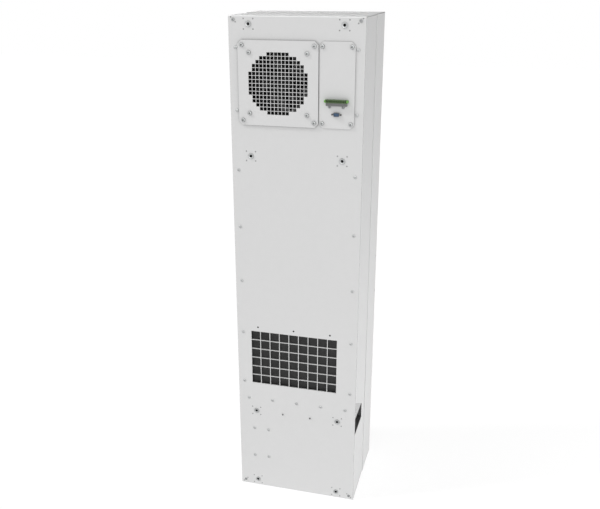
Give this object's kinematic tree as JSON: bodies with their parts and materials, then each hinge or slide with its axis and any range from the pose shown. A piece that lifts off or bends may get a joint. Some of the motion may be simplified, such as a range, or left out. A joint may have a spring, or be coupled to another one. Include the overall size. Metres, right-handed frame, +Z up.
{
  "type": "enclosure air conditioner",
  "caption": "Tall slim wall-mounted cooling unit for an enclosure: folded housing with fan guard, air outlet lattice, connectors, threaded mounting bushes and louvred outer panels.",
  "frame": {"origin": "on the flat bottom, half way across the width and half way through the depth of the housing", "axes": "+Z up, -Y out of the mounting face towards the cabinet, +Y towards the outer side, +X to the right of someone who faces the mounting face"},
  "size_m": [0.404, 0.33, 1.587],
  "materials": {
    "housing_paint": "light grey powder coat with a fine texture",
    "plate_paint": "light grey powder coat, smooth",
    "tray_paint": "light grey paint",
    "fan_black": "black moulded plastic",
    "terminal_green": "dark green moulded plastic",
    "terminal_bright_green": "bright green moulded plastic",
    "carrier_grey": "grey moulded plastic",
    "socket_blue": "blue moulded plastic",
    "zinc": "zinc plated steel",
    "dark_nickel": "dark plated steel",
    "coil_dark": "dark coated aluminium fins",
    "inner_sheet": "grey inner sheet"
  },
  "bodies": {
    "root": {"mounting_panel": "housing_paint", "base_side_left": "housing_paint", "base_side_right": "housing_paint", "outlet_grille": "housing_paint", "fan_guard": "plate_paint", "fan_frame": "fan_black", "fan_rotor": "fan_black", "fan_motor": "fan_black", "connector_plate": "plate_paint", "terminal_header": "terminal_green", "terminal_ends": "terminal_bright_green", "terminal_carrier": "carrier_grey", "socket_shell": "dark_nickel", "socket_insert": "socket_blue", "drip_tray": "tray_paint", "evaporator_core": "coil_dark", "machine_chamber": "inner_sheet", "bulkhead": "inner_sheet", "cover_wrap": "housing_paint", "lower_louvre_panel": "housing_paint", "centre_panel": "housing_paint", "upper_louvre_panel": "housing_paint", "condenser_core": "coil_dark", "outer_fan_plate": "inner_sheet", "outer_fan_rotor": "fan_black", "outer_fan_bracket": "inner_sheet", "mounting_bushes_1": "zinc", "mounting_bushes_2": "zinc", "mounting_bushes_3": "zinc", "mounting_bushes_4": "zinc"}
  },
  "joints": []
}
